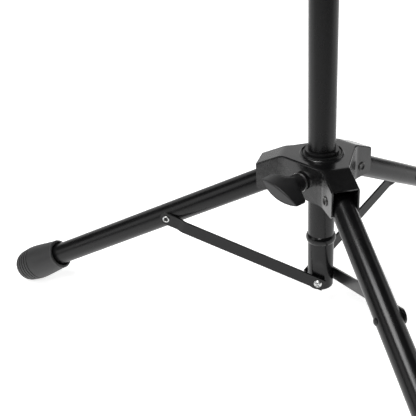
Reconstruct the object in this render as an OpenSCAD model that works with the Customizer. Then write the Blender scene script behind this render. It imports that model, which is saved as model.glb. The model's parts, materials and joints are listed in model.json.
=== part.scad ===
// Music stand with a folding tripod, a two-stage shaft and a tilting desk.
// Millimetres, +Z up. The origin is on the floor under the shaft axis, and the desk faces -Y.

/* [Legs] */
// Angle of an open leg below the horizontal
leg_angle = 26.1; // [22:0.1:32]
// Distance from the shaft axis to a leg hinge
hinge_r = 44.3; // [42:0.1:60]
// Outside diameter of a leg tube
leg_od = 22; // [18:0.5:27]
// Wall of a leg tube
leg_wall = 1.2; // [1:0.1:2]
// Distance along a leg from its hinge to the tip of its foot
leg_reach = 319.4; // [250:0.1:400]
// Length of leg tube behind the hinge
leg_tail = 12; // [10:0.5:14]
// Distance along a leg from its hinge to the brace rivet
brace_at = 119.8; // [90:0.1:150]
// Diameter of a leg hinge rivet
hinge_pin_d = 6; // [5:0.5:8]

/* [Feet] */
// Length of a rubber foot
foot_len = 55; // [45:1:80]
// Rubber outside the leg tube at the mouth of a foot
foot_mouth_wall = 3.7; // [3:0.1:6]
// Rubber outside the leg tube at the belly of a foot
foot_belly_wall = 7.4; // [6.5:0.1:10]
// Distance from the tip of a foot to its belly
foot_belly_at = 23; // [19:0.5:35]
// Radius of the rounded toe edge
foot_round = 13; // [10:0.5:13.5]
// Solid rubber between the end of the leg tube and the tip
foot_sole = 12; // [8:1:20]

/* [Hub] */
// Thickness of the pressed steel sheet
hub_sheet = 1.6; // [1.2:0.1:2.5]
// Gap on each side between a leg tube and the hub flanges
leg_side_play = 0.4; // [0.35:0.05:0.8]
// Gap between the swinging end of a leg and the roof of its arm
roof_gap = 1.9; // [1:0.1:4]
// Slope of the roof of an arm
arm_slope = 23; // [15:1:30]
// Distance from a hinge to the open end of its arm
arm_past_hinge = 14.7; // [12:0.1:20]
// Depth of the flanges below a hinge
flange_drop = 10.4; // [8:0.1:14]
// Cut corner at the lower end of a flange
flange_chamfer = 2; // [1:0.5:6]
// Wall of the plastic bush that slides on the shaft
bush_wall = 4.75; // [3:0.05:6]
// Room between the bush and a side wall of the hub
web_room = 10.8; // [10.5:0.1:16]
// Distance from a corner of the flat top to the bend line of its arm
bend_out = 2.5; // [0:0.1:5]

/* [Shaft] */
// Outside diameter of the lower tube
shaft_od = 25.4; // [22:0.1:32]
// Wall of the lower tube
shaft_wall = 1.5; // [1:0.1:2]
// Length of the lower tube
shaft_len = 560; // [450:5:700]
// Height of the lower end of the shaft above the floor
shaft_clear = 33; // [25:0.5:60]
// Height of the rolled bead above the lower end
bead_up = 55.5; // [45:0.5:70]
// Height of the brace screws above the lower end
brace_up = 9.7; // [7:0.1:14]
// Outside diameter of the upper tube
mast_od = 19; // [16:0.5:20]
// Wall of the upper tube
mast_wall = 1.2; // [1:0.1:1.5]
// Length of the upper tube
mast_len = 575; // [450:5:700]
// Length of upper tube inside the lower tube
mast_inside = 280; // [250:5:320]

/* [Braces] */
// Width of a flat brace
brace_w = 12.5; // [10:0.5:16]
// Thickness of a flat brace
brace_t = 2; // [1.5:0.1:3]
// Gap between the lower tube and a brace
brace_gap = 0.7; // [0.5:0.1:2]
// Gap between a leg tube and the end of its brace
tab_gap = 0.4; // [0.35:0.05:1]
// Distance from the rivet to the step in a brace
step_at = 13; // [11:0.5:20]

/* [Knobs] */
// Length of a knob across its wings
knob_span = 43.6; // [36:0.2:50]
// Thickness of the wings at the middle
knob_thick = 12; // [10:0.5:16]
// Height of a knob from its foot to its face
knob_h = 28.5; // [24:0.5:36]
// Diameter of the clamping screws
screw_d = 8; // [6:0.5:10]
// Turn of the hub knob's wings away from level
knob_turn = 17; // [0:1:90]

/* [Desk] */
// Width of the desk
desk_w = 500; // [400:5:560]
// Height of the desk
desk_h = 340; // [280:5:400]
// Part of the desk below the tilt axis
desk_below = 140; // [110:5:170]
// Thickness of the desk sheet
desk_sheet = 1.2; // [1:0.1:2]
// Depth of the folded rim
rim_depth = 10; // [6:1:15]
// Depth of the shelf that holds the music
shelf_depth = 62; // [40:1:80]
// Height of the lip on the shelf
shelf_lip = 14; // [8:1:25]
// Lean of the desk from the vertical
desk_tilt = 20; // [5:1:60]
// Distance from the tilt axis to the back of the desk
desk_offset = 32; // [28:1:45]

/* [Hidden] */
$fn = 64;

// Small values
fit = 0.03;      // radial gap between pieces that are pressed together
running = 0.06;  // radial gap between pieces that turn or slide
over = 1;        // how far a cutter runs past what it cuts

// Directions around the shaft
LEG_AZ = [150, 270, 30];
HUB_KNOB_AZ = 210;
HEIGHT_KNOB_AZ = 90;

// Radii
leg_r = leg_od / 2;
shaft_r = shaft_od / 2;
mast_r = mast_od / 2;
screw_r = screw_d / 2;
hinge_pin_r = hinge_pin_d / 2;

// Foot outline, measured from the tip and the leg axis
foot_mouth_r = leg_r + foot_mouth_wall;
foot_belly_r = leg_r + foot_belly_wall;
foot_toe_r = leg_r - 7.4;
foot_lip = 1.3;
foot_recess = 5;
foot_recess_wall = 1.9;
groove_first = 8;
groove_pitch = 3.6;
groove_w = 1.1;
groove_deep = 0.5;
groove_count = 5;

// Heights of the tripod
toe_t = hinge_r / cos(leg_angle) + leg_reach - foot_round;
apex_z = toe_t * sin(leg_angle) + foot_toe_r * cos(leg_angle) + foot_round;
hinge_z = apex_z - hinge_r * tan(leg_angle);

// Hub outline
hub_half_w = leg_r + leg_side_play + hub_sheet;
bush_r = shaft_r + bush_wall;
web_d = bush_r + web_room;
corner_r = (web_d - hub_half_w * cos(30)) / cos(60);
bend_r = corner_r + bend_out;
arm_end = hinge_r + arm_past_hinge;
tail_swing = sqrt(leg_tail * leg_tail + leg_r * leg_r);
roof_h = tail_swing + roof_gap + hub_sheet;
plate_z = hinge_z + (roof_h - (bend_r - hinge_r) * sin(arm_slope)) / cos(arm_slope);
flange_z = hinge_z - flange_drop;
hub_knob_z = (plate_z + flange_z) / 2;
neck_r = bush_r + 1.9;
neck_h = 2.9;
neck_flare = 2.2;
collar_ring_r = shaft_r + 3;
collar_ring_h = 2.2;
bush_slot = 2;
rivet_head_r = 4.75;
rivet_head_h = 1.1;
rivet_dish_r = 2.6;

// Clamping screws, nuts and pads
pad_r = 4;
nut_h = 6.5;
nut_af = 13;
washer_t = 1.6;
washer_r = 8.8;
knob_stand_off = 2;
boss_r = 8.6;
screw_in_knob = 12;

// Lower tube
shaft_top = shaft_clear + shaft_len;
flat_r = shaft_r - 1.5;
flat_full = 24.5;
flat_fade = 36.5;
shaft_edge = 2;
bead_r = 1.9;
bead_half = 4.6;
anchor_h = 20;
anchor_recess = 2;

// Braces
brace_z = shaft_clear + brace_up;
tab_in = leg_r + tab_gap;
bar_in = shaft_r + brace_gap;
brace_end_r = hinge_r + brace_at * cos(leg_angle);
brace_end_z = hinge_z - brace_at * sin(leg_angle);
brace_len = norm([brace_end_r, brace_end_z - brace_z]);
brace_angle = atan2(brace_end_z - brace_z, brace_end_r);
step_len = 6;
brace_screw_r = 2.4;
brace_screw_tip = 4;
pan_r = 4.2;
pan_h = 2.6;
spacer_r = 5.4;
eyelet_r = 3;
eyelet_bore = 1.7;
eyelet_rim = 0.9;
brace_pin_r = 2.4;
brace_head_r = 3.5;
brace_head_h = 1.6;

// Height lock
collar_below = 35;
collar_above = 35;
collar_wall = 5.8;
guide_wall = 2.4;
guide_seat = 0.7;
guide_flange = 3;
guide_flange_h = 2;
guide_r = max(mast_r + running + guide_wall, shaft_r - shaft_wall + guide_seat);
collar_top = shaft_top + collar_above;
lock_z = shaft_top + collar_above / 2;
lock_boss_r = 10.5;
lock_boss_d = 27;
insert_r = 6;
insert_in = guide_r + 3;

// Upper tube and tilt head
mast_bottom = shaft_top - mast_inside;
mast_top = mast_bottom + mast_len;
tube_guide_h = 30;
tube_guide_floor = 2;
sleeve_wall = 4.5;
sleeve_h = 42;
sleeve_cap = 3;
sleeve_top = mast_top + sleeve_cap;
tongue_t = 14;
tongue_r = 12;
ear_r = 13;
ear_rise = 24;
tilt_z = sleeve_top + ear_rise;

// Desk hardware
bolt_r = 4;
friction_t = 0.95;
friction_r = 11.5;
ear_t = 2.5;
ear_in = tongue_t / 2 + 1;
ear_foot = 25;
base_w = 60;
base_h = 90;
base_t = 2.5;
base_round = 6;
base_rivet_x = 22;
base_rivet_z = 36;
bolt_head_r = 7;
bolt_head_h = 4;
bolt_end = 15;
nut_insert_r = 6.4;
nut_insert_h = 16;
desk_round_top = 18;
desk_round_low = 8;
shelf_margin = 12;
shelf_leaf = 24;
shelf_rivets_n = 5;
small_rivet_r = 2;
small_head_r = 3.6;
small_head_h = 1.2;
rivet_land = 0.2;

// ---------------------------------------------------------------- placing

// Frame of leg k: origin on its hinge, +X along the leg, +Y to its left seen from the shaft
module at_leg(k)
  rotate([0, 0, LEG_AZ[k]])
    translate([hinge_r, 0, hinge_z])
      rotate([0, leg_angle, 0])
        children();

// Frame of brace k: origin on its screw, +X along the brace
module at_brace(k)
  rotate([0, 0, LEG_AZ[k]])
    translate([0, 0, brace_z])
      rotate([0, -brace_angle, 0])
        children();

// Frame with +Z pointing out from the shaft
module radial(az, z, d = 0)
  translate([0, 0, z])
    rotate([0, 0, az])
      translate([d, 0, 0])
        rotate([0, 90, 0])
          children();

// Frame of the desk: origin on the tilt axis, +Z up the desk
module at_desk()
  translate([0, 0, tilt_z])
    rotate([-desk_tilt, 0, 0])
      children();

// ---------------------------------------------------------------- shared shapes

// Cylinder along +Y from y0 to y1
module rod_y(r, y0, y1)
  translate([0, y0, 0])
    rotate([-90, 0, 0])
      cylinder(r = r, h = y1 - y0);

// Cylinder along +X from x0 to x1
module rod_x(r, x0, x1)
  translate([x0, 0, 0])
    rotate([0, 90, 0])
      cylinder(r = r, h = x1 - x0);

// Ring around +Z
module ring(r_out, r_in, z0, z1)
  translate([0, 0, z0])
    difference() {
      cylinder(r = r_out, h = z1 - z0);
      translate([0, 0, -over])
        cylinder(r = r_in, h = z1 - z0 + 2 * over);
    }

// Domed rivet or screw head standing on z = 0
module dome(r, h) {
  ball = (r * r + h * h) / (2 * h);
  intersection() {
    cylinder(r = r, h = h);
    translate([0, 0, h - ball])
      sphere(r = ball);
  }
}

// Flat plate in the XZ plane with rounded corners, low corner at z0
module rounded_sheet(w, z0, z1, r_low, r_top, y0, y1)
  translate([0, y1, 0])
    rotate([90, 0, 0])
      linear_extrude(y1 - y0)
        union() {
          for (s = [-1, 1]) {
            translate([s * (w / 2 - r_low), z0 + r_low])
              circle(r = r_low);
            translate([s * (w / 2 - r_top), z1 - r_top])
              circle(r = r_top);
          }
          polygon([
            [-w / 2 + r_low, z0], [w / 2 - r_low, z0], [w / 2, z0 + r_low], [w / 2, z1 - r_top],
            [w / 2 - r_top, z1], [-w / 2 + r_top, z1], [-w / 2, z1 - r_top], [-w / 2, z0 + r_low]
          ]);
        }

// ---------------------------------------------------------------- wing knob

// Lens outline of the wings, long way along Y
module wing_outline() {
  half = knob_span / 2;
  deep = knob_thick / 2;
  arc = (half * half + deep * deep) / (2 * deep);
  intersection() {
    translate([arc - deep, 0])
      circle(r = arc, $fn = 128);
    translate([deep - arc, 0])
      circle(r = arc, $fn = 128);
  }
}

// Knob with its foot on z = 0, and a pocket for a screw or nut
module wing_knob(pocket_r, pocket_h) {
  back = knob_h * 0.3;
  taper = 27;
  crown = 90;
  difference() {
    union() {
      cylinder(r = boss_r, h = back);
      translate([0, 0, back - over])
        cylinder(r1 = boss_r, r2 = boss_r - 1.5, h = knob_h / 2 - back);
      translate([0, 0, back])
        linear_extrude(knob_h - back)
          wing_outline();
    }
    for (s = [-1, 1])
      translate([0, s * boss_r, back])
        rotate([s * taper, 0, 0])
          translate([-knob_thick, s > 0 ? 0 : -knob_span, -knob_span])
            cube([2 * knob_thick, knob_span, knob_span]);
    difference() {
      translate([-knob_thick, -knob_span, knob_h / 2])
        cube([2 * knob_thick, 2 * knob_span, knob_h]);
      translate([0, 0, knob_h - crown])
        sphere(r = crown, $fn = 128);
    }
    translate([0, 0, -over])
      cylinder(r = pocket_r, h = pocket_h + over);
  }
}

// Washer of a knob, under its foot
module knob_washer(bore)
  ring(washer_r, bore, -washer_t, 0);

// Clamping screw, moulded into a knob and reaching down to a tip
module clamp_screw(tip)
  translate([0, 0, -tip])
    cylinder(r = screw_r, h = tip + screw_in_knob);

// ---------------------------------------------------------------- shaft

// Wedges that press three flats into the lower end of the tube
module shaft_flats(r)
  for (az = LEG_AZ)
    rotate([0, 0, az])
      rotate([90, 0, 90])
        translate([0, 0, -shaft_r])
          linear_extrude(shaft_od)
            polygon([
              [r, shaft_clear - over], [r, shaft_clear + flat_full],
              [r + shaft_r - flat_r, shaft_clear + flat_fade],
              [2 * shaft_r, shaft_clear + flat_fade], [2 * shaft_r, shaft_clear - over]
            ]);

module lower_tube()
  color("#1c1c1e")
    difference() {
      union() {
        translate([0, 0, shaft_clear + shaft_edge])
          cylinder(r = shaft_r, h = shaft_len - shaft_edge);
        rotate_extrude()
          union() {
            translate([0, shaft_clear])
              square([shaft_r - shaft_edge, shaft_edge + over]);
            translate([shaft_r - shaft_edge, shaft_clear + shaft_edge])
              circle(r = shaft_edge);
          }
        bead();
      }
      shaft_flats(flat_r);
      difference() {
        translate([0, 0, shaft_clear - over])
          cylinder(r = shaft_r - shaft_wall, h = shaft_len + 2 * over);
        shaft_flats(flat_r - shaft_wall);
      }
      for (az = LEG_AZ)
        rotate([0, 0, az])
          translate([0, 0, brace_z])
            rod_y(brace_screw_r + fit, 0, shaft_r + over);
    }

// Rolled bead around the lower tube
module bead() {
  arc = (bead_half * bead_half + bead_r * bead_r) / (2 * bead_r);
  rotate_extrude()
    intersection() {
      translate([shaft_r + bead_r - arc, shaft_clear + bead_up])
        circle(r = arc);
      translate([shaft_r - shaft_wall / 2, shaft_clear + bead_up - bead_half])
        square([2 * bead_r, 2 * bead_half]);
    }
}

// Insert inside the lower end that the brace screws bite into
module brace_anchor()
  color("#2a2a2c")
    difference() {
      translate([0, 0, shaft_clear + anchor_recess])
        cylinder(r = shaft_r - shaft_wall - fit, h = anchor_h - anchor_recess);
      shaft_flats(flat_r - shaft_wall - fit);
      for (az = LEG_AZ)
        rotate([0, 0, az])
          translate([0, 0, brace_z])
            rod_y(brace_screw_r + fit, brace_screw_tip - fit, shaft_r + over);
    }

module brace_spacers()
  color("#141414")
    for (az = LEG_AZ)
      rotate([0, 0, az])
        translate([0, 0, brace_z])
          difference() {
            rod_y(spacer_r, flat_r, bar_in - fit);
            rod_y(brace_screw_r + fit, 0, bar_in + over);
          }

// Pan-head screws that the braces turn on
module brace_screws()
  color("#c8c8c4")
    for (az = LEG_AZ)
      rotate([0, 0, az])
        translate([0, 0, brace_z])
          difference() {
            union() {
              rod_y(brace_screw_r, brace_screw_tip, bar_in + brace_t + running + over);
              translate([0, bar_in + brace_t + running, 0])
                rotate([-90, 0, 0])
                  dome(pan_r, pan_h);
            }
            cross_recess(bar_in + brace_t + running + pan_h);
          }

// Cross recess in a screw head whose top is at y
module cross_recess(y) {
  arm = 2.7;
  slot = 1.4;
  deep = 1.7;
  for (a = [0, 90])
    translate([0, y - deep / 2, 0])
      rotate([0, a + 45, 0])
        cube([2 * arm, deep + fit, slot], center = true);
}

// ---------------------------------------------------------------- height lock

module lock_collar()
  color("#18181a")
    difference() {
      union() {
        translate([0, 0, shaft_top - collar_below])
          cylinder(r = shaft_r + collar_wall, h = collar_below + collar_above);
        radial(HEIGHT_KNOB_AZ, lock_z)
          cylinder(r = lock_boss_r, h = lock_boss_d);
      }
      translate([0, 0, shaft_top - collar_below - over])
        cylinder(r = shaft_r + fit, h = collar_below + over);
      translate([0, 0, shaft_top - over])
        cylinder(r = guide_r + running, h = collar_above + 2 * over);
      radial(HEIGHT_KNOB_AZ, lock_z)
        cylinder(r = pad_r + fit, h = lock_boss_d);
      radial(HEIGHT_KNOB_AZ, lock_z, insert_in)
        cylinder(r = insert_r + fit, h = lock_boss_d);
    }

module collar_insert()
  color("#b08d4a")
    radial(HEIGHT_KNOB_AZ, lock_z)
      ring(insert_r, screw_r + running, insert_in, lock_boss_d - 0.5);

module collar_pad()
  color("#d8d4c8")
    intersection() {
      radial(HEIGHT_KNOB_AZ, lock_z, guide_r / 2)
        cylinder(r = pad_r, h = insert_in - guide_r / 2 - fit);
      ring(2 * shaft_r, guide_r + running, lock_z - collar_above / 2, collar_top);
    }

module height_knob()
  color("#1a1a1c")
    radial(HEIGHT_KNOB_AZ, lock_z, lock_boss_d + knob_stand_off + washer_t)
      wing_knob(screw_r + fit, screw_in_knob + fit);

module height_knob_washer()
  color("#c0c0bc")
    radial(HEIGHT_KNOB_AZ, lock_z, lock_boss_d + knob_stand_off + washer_t)
      knob_washer(screw_r + fit);

module height_knob_screw()
  color("#c0c0bc")
    radial(HEIGHT_KNOB_AZ, lock_z, lock_boss_d + knob_stand_off + washer_t)
      clamp_screw(lock_boss_d + knob_stand_off + washer_t - insert_in - 0.1);

// Split bush that the upper tube slides in; it turns inside the collar
module guide_bush()
  color("#101010")
    difference() {
      union() {
        ring(guide_r, mast_r + running, shaft_top + running, collar_top + over);
        ring(guide_r + guide_flange, mast_r + running, collar_top + running,
             collar_top + guide_flange_h);
      }
      translate([-bush_slot / 2, -2 * guide_r, shaft_top])
        cube([bush_slot, 2 * guide_r, collar_above / 2]);
    }

// ---------------------------------------------------------------- hub

// Plan of the hub, drawn inwards by inset, with its arms ending at end
module hub_plan(inset, end) {
  half = hub_half_w - inset;
  core = corner_r - inset * (2 - sqrt(3));
  corner = [[core, -half], [end, -half], [end, half], [core, half]];
  polygon([
    for (az = [30, 150, 270])
      for (p = corner)
        [p.x * cos(az) - p.y * sin(az), p.x * sin(az) + p.y * cos(az)]
  ]);
}

// Solid hub with a flat top at top and roofs that slope down from a bend line
module hub_block(inset, end, low, top, bend)
  difference() {
    translate([0, 0, low])
      linear_extrude(top - low)
        hub_plan(inset, end);
    for (az = LEG_AZ)
      rotate([0, 0, az])
        translate([bend, 0, top])
          rotate([0, arm_slope, 0])
            translate([0, -hub_half_w - over, 0])
              cube([2 * arm_end, 2 * (hub_half_w + over), arm_end]);
  }

module hub_spider()
  color("#222224")
    difference() {
      union() {
        difference() {
          hub_block(0, arm_end, flange_z, plate_z, bend_r);
          hub_block(hub_sheet, arm_end + over, flange_z - over, plate_z - hub_sheet,
                    bend_r - hub_sheet * tan(arm_slope / 2));
        }
        rotate_extrude()
          polygon([
            [bush_r + fit, plate_z - hub_sheet], [bush_r + fit, plate_z + neck_h],
            [neck_r, plate_z + neck_h], [neck_r, plate_z + neck_flare / 2],
            [neck_r + neck_flare, plate_z], [neck_r, plate_z - hub_sheet]
          ]);
      }
      translate([0, 0, plate_z - 2 * hub_sheet])
        cylinder(r = bush_r + fit, h = neck_h + 4 * hub_sheet);
      for (az = LEG_AZ)
        rotate([0, 0, az]) {
          translate([hinge_r, 0, hinge_z])
            rod_y(hinge_pin_r + fit, -hub_half_w - over, hub_half_w + over);
          translate([arm_end, 0, flange_z])
            rotate([0, 45, 0])
              cube([flange_chamfer * sqrt(2), 3 * hub_half_w, flange_chamfer * sqrt(2)],
                   center = true);
        }
      radial(HUB_KNOB_AZ, hub_knob_z, bush_r + over)
        cylinder(r = screw_r + 0.4, h = web_room + over);
    }

// Split plastic bush that the hub slides on
module hub_bush()
  color("#0e0e0e")
    difference() {
      union() {
        ring(bush_r, shaft_r + running, flange_z + 3, plate_z + neck_h - 0.9);
        ring(collar_ring_r, shaft_r + running, plate_z, plate_z + neck_h + collar_ring_h);
      }
      rotate([0, 0, HUB_KNOB_AZ + 90])
        translate([0, -bush_slot / 2, flange_z])
          cube([2 * bush_r, bush_slot, plate_z - flange_z + 2 * neck_h + collar_ring_h]);
      radial(HUB_KNOB_AZ, hub_knob_z)
        cylinder(r = pad_r + fit, h = 2 * bush_r);
    }

// Hexagon nut welded behind the side wall
module hub_nut()
  color("#8a8a86")
    radial(HUB_KNOB_AZ, hub_knob_z, web_d - hub_sheet - nut_h)
      difference() {
        cylinder(r = nut_af / sqrt(3), h = nut_h, $fn = 6);
        translate([0, 0, -over])
          cylinder(r = screw_r + running, h = nut_h + 2 * over);
      }

// Pressure pad between the screw and the lower tube
module hub_pad()
  color("#d8d4c8")
    intersection() {
      radial(HUB_KNOB_AZ, hub_knob_z, shaft_r / 2)
        cylinder(r = pad_r, h = bush_r - shaft_r / 2);
      ring(2 * shaft_r, shaft_r + running, flange_z, plate_z);
    }

module hub_knob()
  color("#1a1a1c")
    radial(HUB_KNOB_AZ, hub_knob_z, web_d + knob_stand_off + washer_t)
      rotate([0, 0, -knob_turn])
        wing_knob(screw_r + fit, screw_in_knob + fit);

module hub_knob_washer()
  color("#c0c0bc")
    radial(HUB_KNOB_AZ, hub_knob_z, web_d + knob_stand_off + washer_t)
      knob_washer(screw_r + fit);

module hub_knob_screw()
  color("#c0c0bc")
    radial(HUB_KNOB_AZ, hub_knob_z, web_d + knob_stand_off + washer_t)
      clamp_screw(web_room + knob_stand_off + washer_t - 0.1);

// Dished tubular rivets that the legs turn on
module leg_hinge_rivets()
  color("#3a3a3a")
    for (az = LEG_AZ)
      rotate([0, 0, az])
        translate([hinge_r, 0, hinge_z])
          difference() {
            union() {
              rod_y(hinge_pin_r, -hub_half_w, hub_half_w);
              for (s = [-1, 1])
                translate([0, s * hub_half_w, 0])
                  rotate([-90 * s, 0, 0])
                    cylinder(r1 = rivet_head_r, r2 = rivet_head_r - 0.6, h = rivet_head_h);
            }
            for (s = [-1, 1])
              translate([0, s * (hub_half_w + rivet_head_h), 0])
                rotate([90 * s, 0, 0]) {
                  translate([0, 0, -over])
                    cylinder(r = rivet_dish_r - 0.6, h = 3 * rivet_head_h + over);
                  translate([0, 0, -fit])
                    cylinder(r1 = rivet_dish_r + 0.9, r2 = rivet_dish_r - 0.6, h = rivet_head_h);
                }
          }

// ---------------------------------------------------------------- legs

module leg_tube(k)
  color("#1c1c1e")
    at_leg(k)
      difference() {
        rod_x(leg_r, -leg_tail, leg_reach - foot_sole);
        rod_x(leg_r - leg_wall, -leg_tail - over, leg_reach);
        rod_y(hinge_pin_r + running, -leg_od, leg_od);
        translate([brace_at, 0, 0])
          rod_y(brace_pin_r + fit, -leg_od, leg_od);
      }

// Outline of a foot in the half plane: x is the radius, y the distance from its tip
module foot_outline() {
  lean = atan((foot_belly_r - foot_toe_r - foot_round) / (foot_belly_at - foot_round));
  union() {
    translate([foot_toe_r, foot_round])
      circle(r = foot_round);
    polygon([
      [0, 0], [foot_toe_r, 0],
      [foot_toe_r + foot_round * cos(lean), foot_round * (1 - sin(lean))],
      [foot_belly_r, foot_belly_at], [foot_mouth_r, foot_len - foot_lip], [0, foot_len - foot_lip]
    ]);
    translate([foot_mouth_r - foot_lip / 2, foot_len - foot_lip])
      circle(r = foot_lip);
    translate([0, foot_len - 2 * foot_lip])
      square([foot_mouth_r - foot_lip / 2, 2 * foot_lip]);
  }
}

module foot(k) {
  slope = (foot_belly_r - foot_toe_r - foot_round) / (foot_belly_at - foot_round);
  color("#303032")
    at_leg(k)
      translate([leg_reach, 0, 0])
        rotate([0, -90, 0])
          rotate_extrude()
            difference() {
              foot_outline();
              translate([-over, foot_sole])
                square([leg_r + fit + over, foot_len]);
              translate([-over, foot_len - foot_recess])
                square([leg_r + foot_recess_wall + over, foot_len]);
              for (i = [0 : groove_count - 1]) {
                y = groove_first + i * groove_pitch;
                r = foot_toe_r + foot_round + (y - foot_round) * slope;
                translate([r - groove_deep, y])
                  square([2 * groove_deep + over, groove_w]);
              }
              translate([-2 * foot_len, -foot_len])
                square([2 * foot_len, 3 * foot_len]);
            }
}

// Rivet through a leg: head on the right, shank ending flush on the left
module brace_rivet(k)
  color("#3a3a3a")
    at_leg(k)
      translate([brace_at, 0, 0]) {
        rod_y(brace_pin_r, -leg_r - over, leg_r + tab_gap / 3);
        translate([0, -leg_r, 0])
          rotate([90, 0, 0])
            dome(brace_head_r, brace_head_h);
      }

// ---------------------------------------------------------------- braces

// Flat bar seen edge on: x along the brace, y away from the leg plane, z0 half its width
module brace(k) {
  step_1 = brace_len - step_at;
  step_0 = step_1 - step_len;
  color("#1e1e20")
    at_brace(k)
      difference() {
        union() {
          translate([-brace_w / 2, bar_in, -brace_w / 2])
            cube([step_0 + brace_w / 2, brace_t, brace_w]);
          translate([0, 0, -brace_w / 2])
            linear_extrude(brace_w)
              polygon([
                [step_0 - over / 2, bar_in], [step_0, bar_in], [step_1, tab_in],
                [step_1 + over / 2, tab_in], [step_1 + over / 2, tab_in + brace_t],
                [step_1, tab_in + brace_t], [step_0, bar_in + brace_t],
                [step_0 - over / 2, bar_in + brace_t]
              ]);
          translate([step_1, tab_in, -brace_w / 2])
            cube([step_at, brace_t, brace_w]);
          translate([brace_len, 0, 0])
            rod_y(brace_w / 2, tab_in, tab_in + brace_t);
        }
        rod_y(brace_screw_r + running, bar_in - over, bar_in + brace_t + over);
        translate([brace_len, 0, 0])
          rod_y(eyelet_r + fit, tab_in - over, tab_in + brace_t + over);
      }
}

// Bright tubular end of the brace rivet, rolled over the brace
module brace_eyelet(k)
  color("#c8c8c4")
    at_brace(k)
      translate([brace_len, 0, 0])
        difference() {
          union() {
            rod_y(eyelet_r, tab_in, tab_in + brace_t + fit);
            translate([0, tab_in + brace_t, 0])
              rotate([-90, 0, 0])
                cylinder(r1 = eyelet_r + 0.6, r2 = eyelet_r, h = eyelet_rim);
          }
          rod_y(eyelet_bore, tab_in + brace_t / 2, tab_in + brace_t + eyelet_rim + over);
        }

// ---------------------------------------------------------------- upper tube and tilt head

module upper_tube()
  color("#202022")
    ring(mast_r, mast_r - mast_wall, mast_bottom, mast_top);

// Plastic guide on the hidden end of the upper tube
module tube_guide()
  color("#101010")
    difference() {
      translate([0, 0, mast_bottom - tube_guide_floor])
        cylinder(r = shaft_r - shaft_wall - running, h = tube_guide_h);
      translate([0, 0, mast_bottom])
        cylinder(r = mast_r + fit, h = tube_guide_h);
    }

module tilt_head()
  color("#18181a")
    difference() {
      union() {
        translate([0, 0, sleeve_top - sleeve_h])
          cylinder(r = mast_r + sleeve_wall, h = sleeve_h);
        translate([-tongue_t / 2, 0, 0])
          rotate([90, 0, 90])
            linear_extrude(tongue_t)
              union() {
                translate([0, tilt_z])
                  circle(r = tongue_r);
                translate([-tongue_r, sleeve_top - over])
                  square([2 * tongue_r, ear_rise + over]);
              }
      }
      translate([0, 0, sleeve_top - sleeve_h - over])
        cylinder(r = mast_r + fit, h = sleeve_h - sleeve_cap + over);
      translate([0, 0, tilt_z])
        rod_x(bolt_r + running, -tongue_t, tongue_t);
    }

// ---------------------------------------------------------------- desk

// Sheet with a rim folded back along its sides and top
module desk_plate() {
  front = -desk_offset - desk_sheet;
  low = -desk_below;
  high = desk_h - desk_below;
  color("#1c1c1e")
    at_desk()
      difference() {
        rounded_sheet(desk_w, low, high, desk_round_low, desk_round_top, front, front + rim_depth);
        rounded_sheet(desk_w - 2 * desk_sheet, low - rim_depth, high - desk_sheet,
                      desk_round_low - desk_sheet, desk_round_top - desk_sheet,
                      front + desk_sheet, front + rim_depth + over);
        for (x = shelf_rivet_x)
          translate([x, 0, shelf_rivet_z])
            desk_rivet_hole(front);
        for (sx = [-1, 1])
          for (sz = [-1, 1])
            translate([sx * base_rivet_x, 0, sz * base_rivet_z])
              desk_rivet_hole(front);
      }
}

// Countersunk hole through the desk sheet
module desk_rivet_hole(front) {
  rod_y(small_rivet_r + fit, front - over, front + desk_sheet + over);
  rivet_cone(front, fit);
}

shelf_w = desk_w - 2 * shelf_margin;
shelf_rivet_x = [for (i = [0 : shelf_rivets_n - 1])
  (i / (shelf_rivets_n - 1) - 0.5) * (shelf_w - 2 * shelf_leaf)];
shelf_rivet_z = -desk_below + shelf_leaf / 2;

// Shelf: a leaf behind the desk, a ledge under it and a lip in front
module paper_shelf() {
  back = -desk_offset;
  low = -desk_below - desk_sheet;
  front = back - desk_sheet - shelf_depth;
  color("#1c1c1e")
    at_desk()
      difference() {
        translate([-shelf_w / 2, 0, 0])
          rotate([90, 0, 90])
            linear_extrude(shelf_w)
              polygon([
                [back, low + desk_sheet], [back, low + shelf_leaf],
                [back + desk_sheet, low + shelf_leaf], [back + desk_sheet, low],
                [front, low], [front, low + shelf_lip],
                [front + desk_sheet, low + shelf_lip], [front + desk_sheet, low + desk_sheet]
              ]);
        for (x = shelf_rivet_x)
          translate([x, 0, shelf_rivet_z])
            rod_y(small_rivet_r + fit, back - over, back + 2 * over);
      }
}

// Countersink for a rivet head whose face is at front, opened out by gap
module rivet_cone(front, gap) {
  taper = (small_head_r - small_rivet_r) / (desk_sheet - rivet_land);
  translate([0, front - gap, 0])
    rotate([-90, 0, 0])
      cylinder(r1 = small_head_r + gap * (1 + taper), r2 = small_rivet_r + gap,
               h = desk_sheet - rivet_land + gap);
}

// Rivet with its head flush at the front and a flat tail at the back of a stack
module small_rivet(front, back) {
  rod_y(small_rivet_r, front + fit, back + small_head_h / 2);
  rivet_cone(front, 0);
  rod_y(small_head_r - 0.6, back, back + small_head_h);
}

module shelf_rivets()
  color("#2a2a2c")
    at_desk()
      for (x = shelf_rivet_x)
        translate([x, 0, shelf_rivet_z])
          small_rivet(-desk_offset - desk_sheet, -desk_offset + desk_sheet);

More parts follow.
